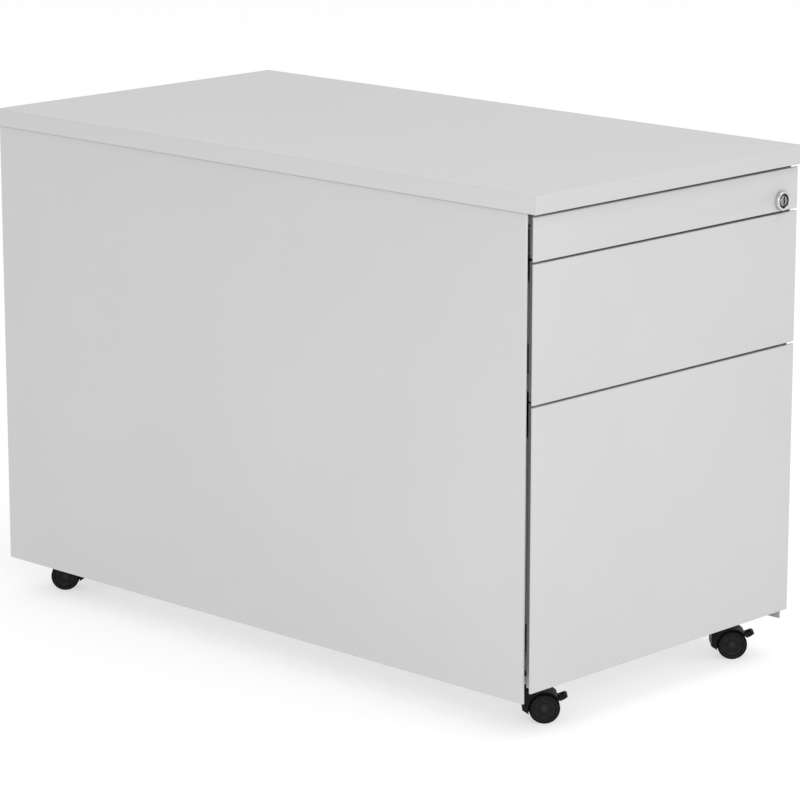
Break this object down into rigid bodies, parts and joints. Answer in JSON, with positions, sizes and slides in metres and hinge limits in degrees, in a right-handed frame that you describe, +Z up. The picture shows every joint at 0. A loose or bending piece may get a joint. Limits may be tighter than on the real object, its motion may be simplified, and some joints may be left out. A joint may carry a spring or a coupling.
{
  "type": "mobile filing cabinet",
  "caption": "Deep office pedestal on twin-wheel casters: a shallow pen drawer with a lock, a middle drawer and a hanging-file drawer in a sheet-steel body.",
  "frame": {"origin": "on the floor, under the middle of the outer box", "axes": "+Z up; the drawers open towards -Y; +X is to the right of a person facing the drawer fronts"},
  "size_m": [0.42, 0.8, 0.553],
  "materials": {
    "powder_coat": "light grey powder coat, fine satin texture",
    "top_laminate": "chipboard faced with light grey melamine, matt",
    "zinc_steel": "bright zinc plated",
    "insert_plastic": "moulded black plastic, fine grain",
    "caster_plastic": "black nylon, matt",
    "wheel_plastic": "black nylon wheel with a soft tread",
    "lock_chrome": "polished chrome plate"
  },
  "bodies": {
    "cabinet": {"top_plate": "top_laminate", "left_side_panel": "powder_coat", "right_side_panel": "powder_coat", "left_front_upright": "zinc_steel", "left_rear_upright": "zinc_steel", "right_front_upright": "zinc_steel", "right_rear_upright": "zinc_steel", "back_panel": "powder_coat", "base_panel": "powder_coat", "front_top_rail": "powder_coat", "rear_top_rail": "powder_coat", "pencil_left_cabinet_rail": "zinc_steel", "pencil_right_cabinet_rail": "zinc_steel", "middle_left_cabinet_rail": "zinc_steel", "middle_right_cabinet_rail": "zinc_steel", "file_left_cabinet_rail": "zinc_steel", "file_right_cabinet_rail": "zinc_steel", "front_left_caster_plate": "zinc_steel", "front_right_caster_plate": "zinc_steel", "rear_left_caster_plate": "zinc_steel", "rear_right_caster_plate": "zinc_steel"},
    "pencil_drawer": {"pencil_front": "powder_coat", "pencil_box": "powder_coat", "pencil_insert": "insert_plastic", "pencil_left_drawer_rail": "zinc_steel", "pencil_right_drawer_rail": "zinc_steel", "lock_barrel": "lock_chrome"},
    "lock_core": {"lock_plug": "lock_chrome", "lock_cam": "zinc_steel"},
    "lock_rod": {"locking_bar": "zinc_steel"},
    "middle_drawer": {"middle_front": "powder_coat", "middle_box": "powder_coat", "middle_divider": "powder_coat", "middle_left_drawer_rail": "zinc_steel", "middle_right_drawer_rail": "zinc_steel"},
    "middle_slides": {"middle_left_middle_rail": "zinc_steel", "middle_right_middle_rail": "zinc_steel"},
    "file_drawer": {"file_front": "powder_coat", "file_box": "powder_coat", "file_left_hanger": "zinc_steel", "file_right_hanger": "zinc_steel", "file_left_drawer_rail": "zinc_steel", "file_right_drawer_rail": "zinc_steel"},
    "file_slides": {"file_left_middle_rail": "zinc_steel", "file_right_middle_rail": "zinc_steel"},
    "front_left_swivel": {"front_left_caster_hood": "caster_plastic"},
    "front_left_wheel_a": {"front_left_caster_wheel_a": "wheel_plastic"},
    "front_left_wheel_b": {"front_left_caster_wheel_b": "wheel_plastic"},
    "front_left_pedal": {"front_left_caster_brake": "caster_plastic"},
    "front_right_swivel": {"front_right_caster_hood": "caster_plastic"},
    "front_right_wheel_a": {"front_right_caster_wheel_a": "wheel_plastic"},
    "front_right_wheel_b": {"front_right_caster_wheel_b": "wheel_plastic"},
    "front_right_pedal": {"front_right_caster_brake": "caster_plastic"},
    "rear_left_swivel": {"rear_left_caster_hood": "caster_plastic"},
    "rear_left_wheel_a": {"rear_left_caster_wheel_a": "wheel_plastic"},
    "rear_left_wheel_b": {"rear_left_caster_wheel_b": "wheel_plastic"},
    "rear_right_swivel": {"rear_right_caster_hood": "caster_plastic"},
    "rear_right_wheel_a": {"rear_right_caster_wheel_a": "wheel_plastic"},
    "rear_right_wheel_b": {"rear_right_caster_wheel_b": "wheel_plastic"}
  },
  "joints": [
    {"name": "pencil_open", "type": "slide", "parent": "cabinet", "child": "pencil_drawer", "axis": [0, -1, 0], "range_m": [0, 0.42]},
    {"name": "middle_open", "type": "slide", "parent": "cabinet", "child": "middle_drawer", "axis": [0, -1, 0], "range_m": [0, 0.665]},
    {"name": "middle_slides_run", "type": "slide", "parent": "cabinet", "child": "middle_slides", "axis": [0, -1, 0], "range_m": [0, 0.3325]},
    {"name": "file_open", "type": "slide", "parent": "cabinet", "child": "file_drawer", "axis": [0, -1, 0], "range_m": [0, 0.665]},
    {"name": "file_slides_run", "type": "slide", "parent": "cabinet", "child": "file_slides", "axis": [0, -1, 0], "range_m": [0, 0.3325]},
    {"name": "lock_turn", "type": "hinge", "parent": "pencil_drawer", "child": "lock_core", "pos_m": [0.178, -0.39, 0.498], "axis": [0, 1, 0], "range_deg": [0, 90]},
    {"name": "lock_rod_lift", "type": "slide", "parent": "cabinet", "child": "lock_rod", "axis": [0, 0, 1], "range_m": [0, 0.01]},
    {"name": "front_left_swivel_turn", "type": "hinge", "parent": "cabinet", "child": "front_left_swivel", "pos_m": [-0.151, -0.348, 0.045], "axis": [0, 0, 1], "continuous": true},
    {"name": "front_left_wheel_a_spin", "type": "hinge", "parent": "front_left_swivel", "child": "front_left_wheel_a", "pos_m": [-0.14252, -0.35648, 0.016], "axis": [0.7071, 0.7071, 0], "continuous": true},
    {"name": "front_left_wheel_b_spin", "type": "hinge", "parent": "front_left_swivel", "child": "front_left_wheel_b", "pos_m": [-0.14252, -0.35648, 0.016], "axis": [0.7071, 0.7071, 0], "continuous": true},
    {"name": "front_left_pedal_press", "type": "hinge", "parent": "front_left_swivel", "child": "front_left_pedal", "pos_m": [-0.13085, -0.36815, 0.0252], "axis": [0.7071, 0.7071, 0], "range_deg": [0, 18]},
    {"name": "front_right_swivel_turn", "type": "hinge", "parent": "cabinet", "child": "front_right_swivel", "pos_m": [0.151, -0.348, 0.045], "axis": [0, 0, 1], "continuous": true},
    {"name": "front_right_wheel_a_spin", "type": "hinge", "parent": "front_right_swivel", "child": "front_right_wheel_a", "pos_m": [0.15948, -0.35648, 0.016], "axis": [0.7071, 0.7071, 0], "continuous": true},
    {"name": "front_right_wheel_b_spin", "type": "hinge", "parent": "front_right_swivel", "child": "front_right_wheel_b", "pos_m": [0.15948, -0.35648, 0.016], "axis": [0.7071, 0.7071, 0], "continuous": true},
    {"name": "front_right_pedal_press", "type": "hinge", "parent": "front_right_swivel", "child": "front_right_pedal", "pos_m": [0.17115, -0.36815, 0.0252], "axis": [0.7071, 0.7071, 0], "range_deg": [0, 18]},
    {"name": "rear_left_swivel_turn", "type": "hinge", "parent": "cabinet", "child": "rear_left_swivel", "pos_m": [-0.151, 0.349, 0.045], "axis": [0, 0, 1], "continuous": true},
    {"name": "rear_left_wheel_a_spin", "type": "hinge", "parent": "rear_left_swivel", "child": "rear_left_wheel_a", "pos_m": [-0.15948, 0.35748, 0.016], "axis": [-0.7071, -0.7071, 0], "continuous": true},
    {"name": "rear_left_wheel_b_spin", "type": "hinge", "parent": "rear_left_swivel", "child": "rear_left_wheel_b", "pos_m": [-0.15948, 0.35748, 0.016], "axis": [-0.7071, -0.7071, 0], "continuous": true},
    {"name": "rear_right_swivel_turn", "type": "hinge", "parent": "cabinet", "child": "rear_right_swivel", "pos_m": [0.151, 0.349, 0.045], "axis": [0, 0, 1], "continuous": true},
    {"name": "rear_right_wheel_a_spin", "type": "hinge", "parent": "rear_right_swivel", "child": "rear_right_wheel_a", "pos_m": [0.14252, 0.35748, 0.016], "axis": [-0.7071, -0.7071, 0], "continuous": true},
    {"name": "rear_right_wheel_b_spin", "type": "hinge", "parent": "rear_right_swivel", "child": "rear_right_wheel_b", "pos_m": [0.14252, 0.35748, 0.016], "axis": [-0.7071, -0.7071, 0], "continuous": true}
  ],
  "couplings": [
    {"joint": "middle_slides_run", "follows": "middle_open", "ratio": 0.5},
    {"joint": "file_slides_run", "follows": "file_open", "ratio": 0.5},
    {"joint": "lock_turn", "follows": "lock_rod_lift", "rad_per_m": 157}
  ]
}
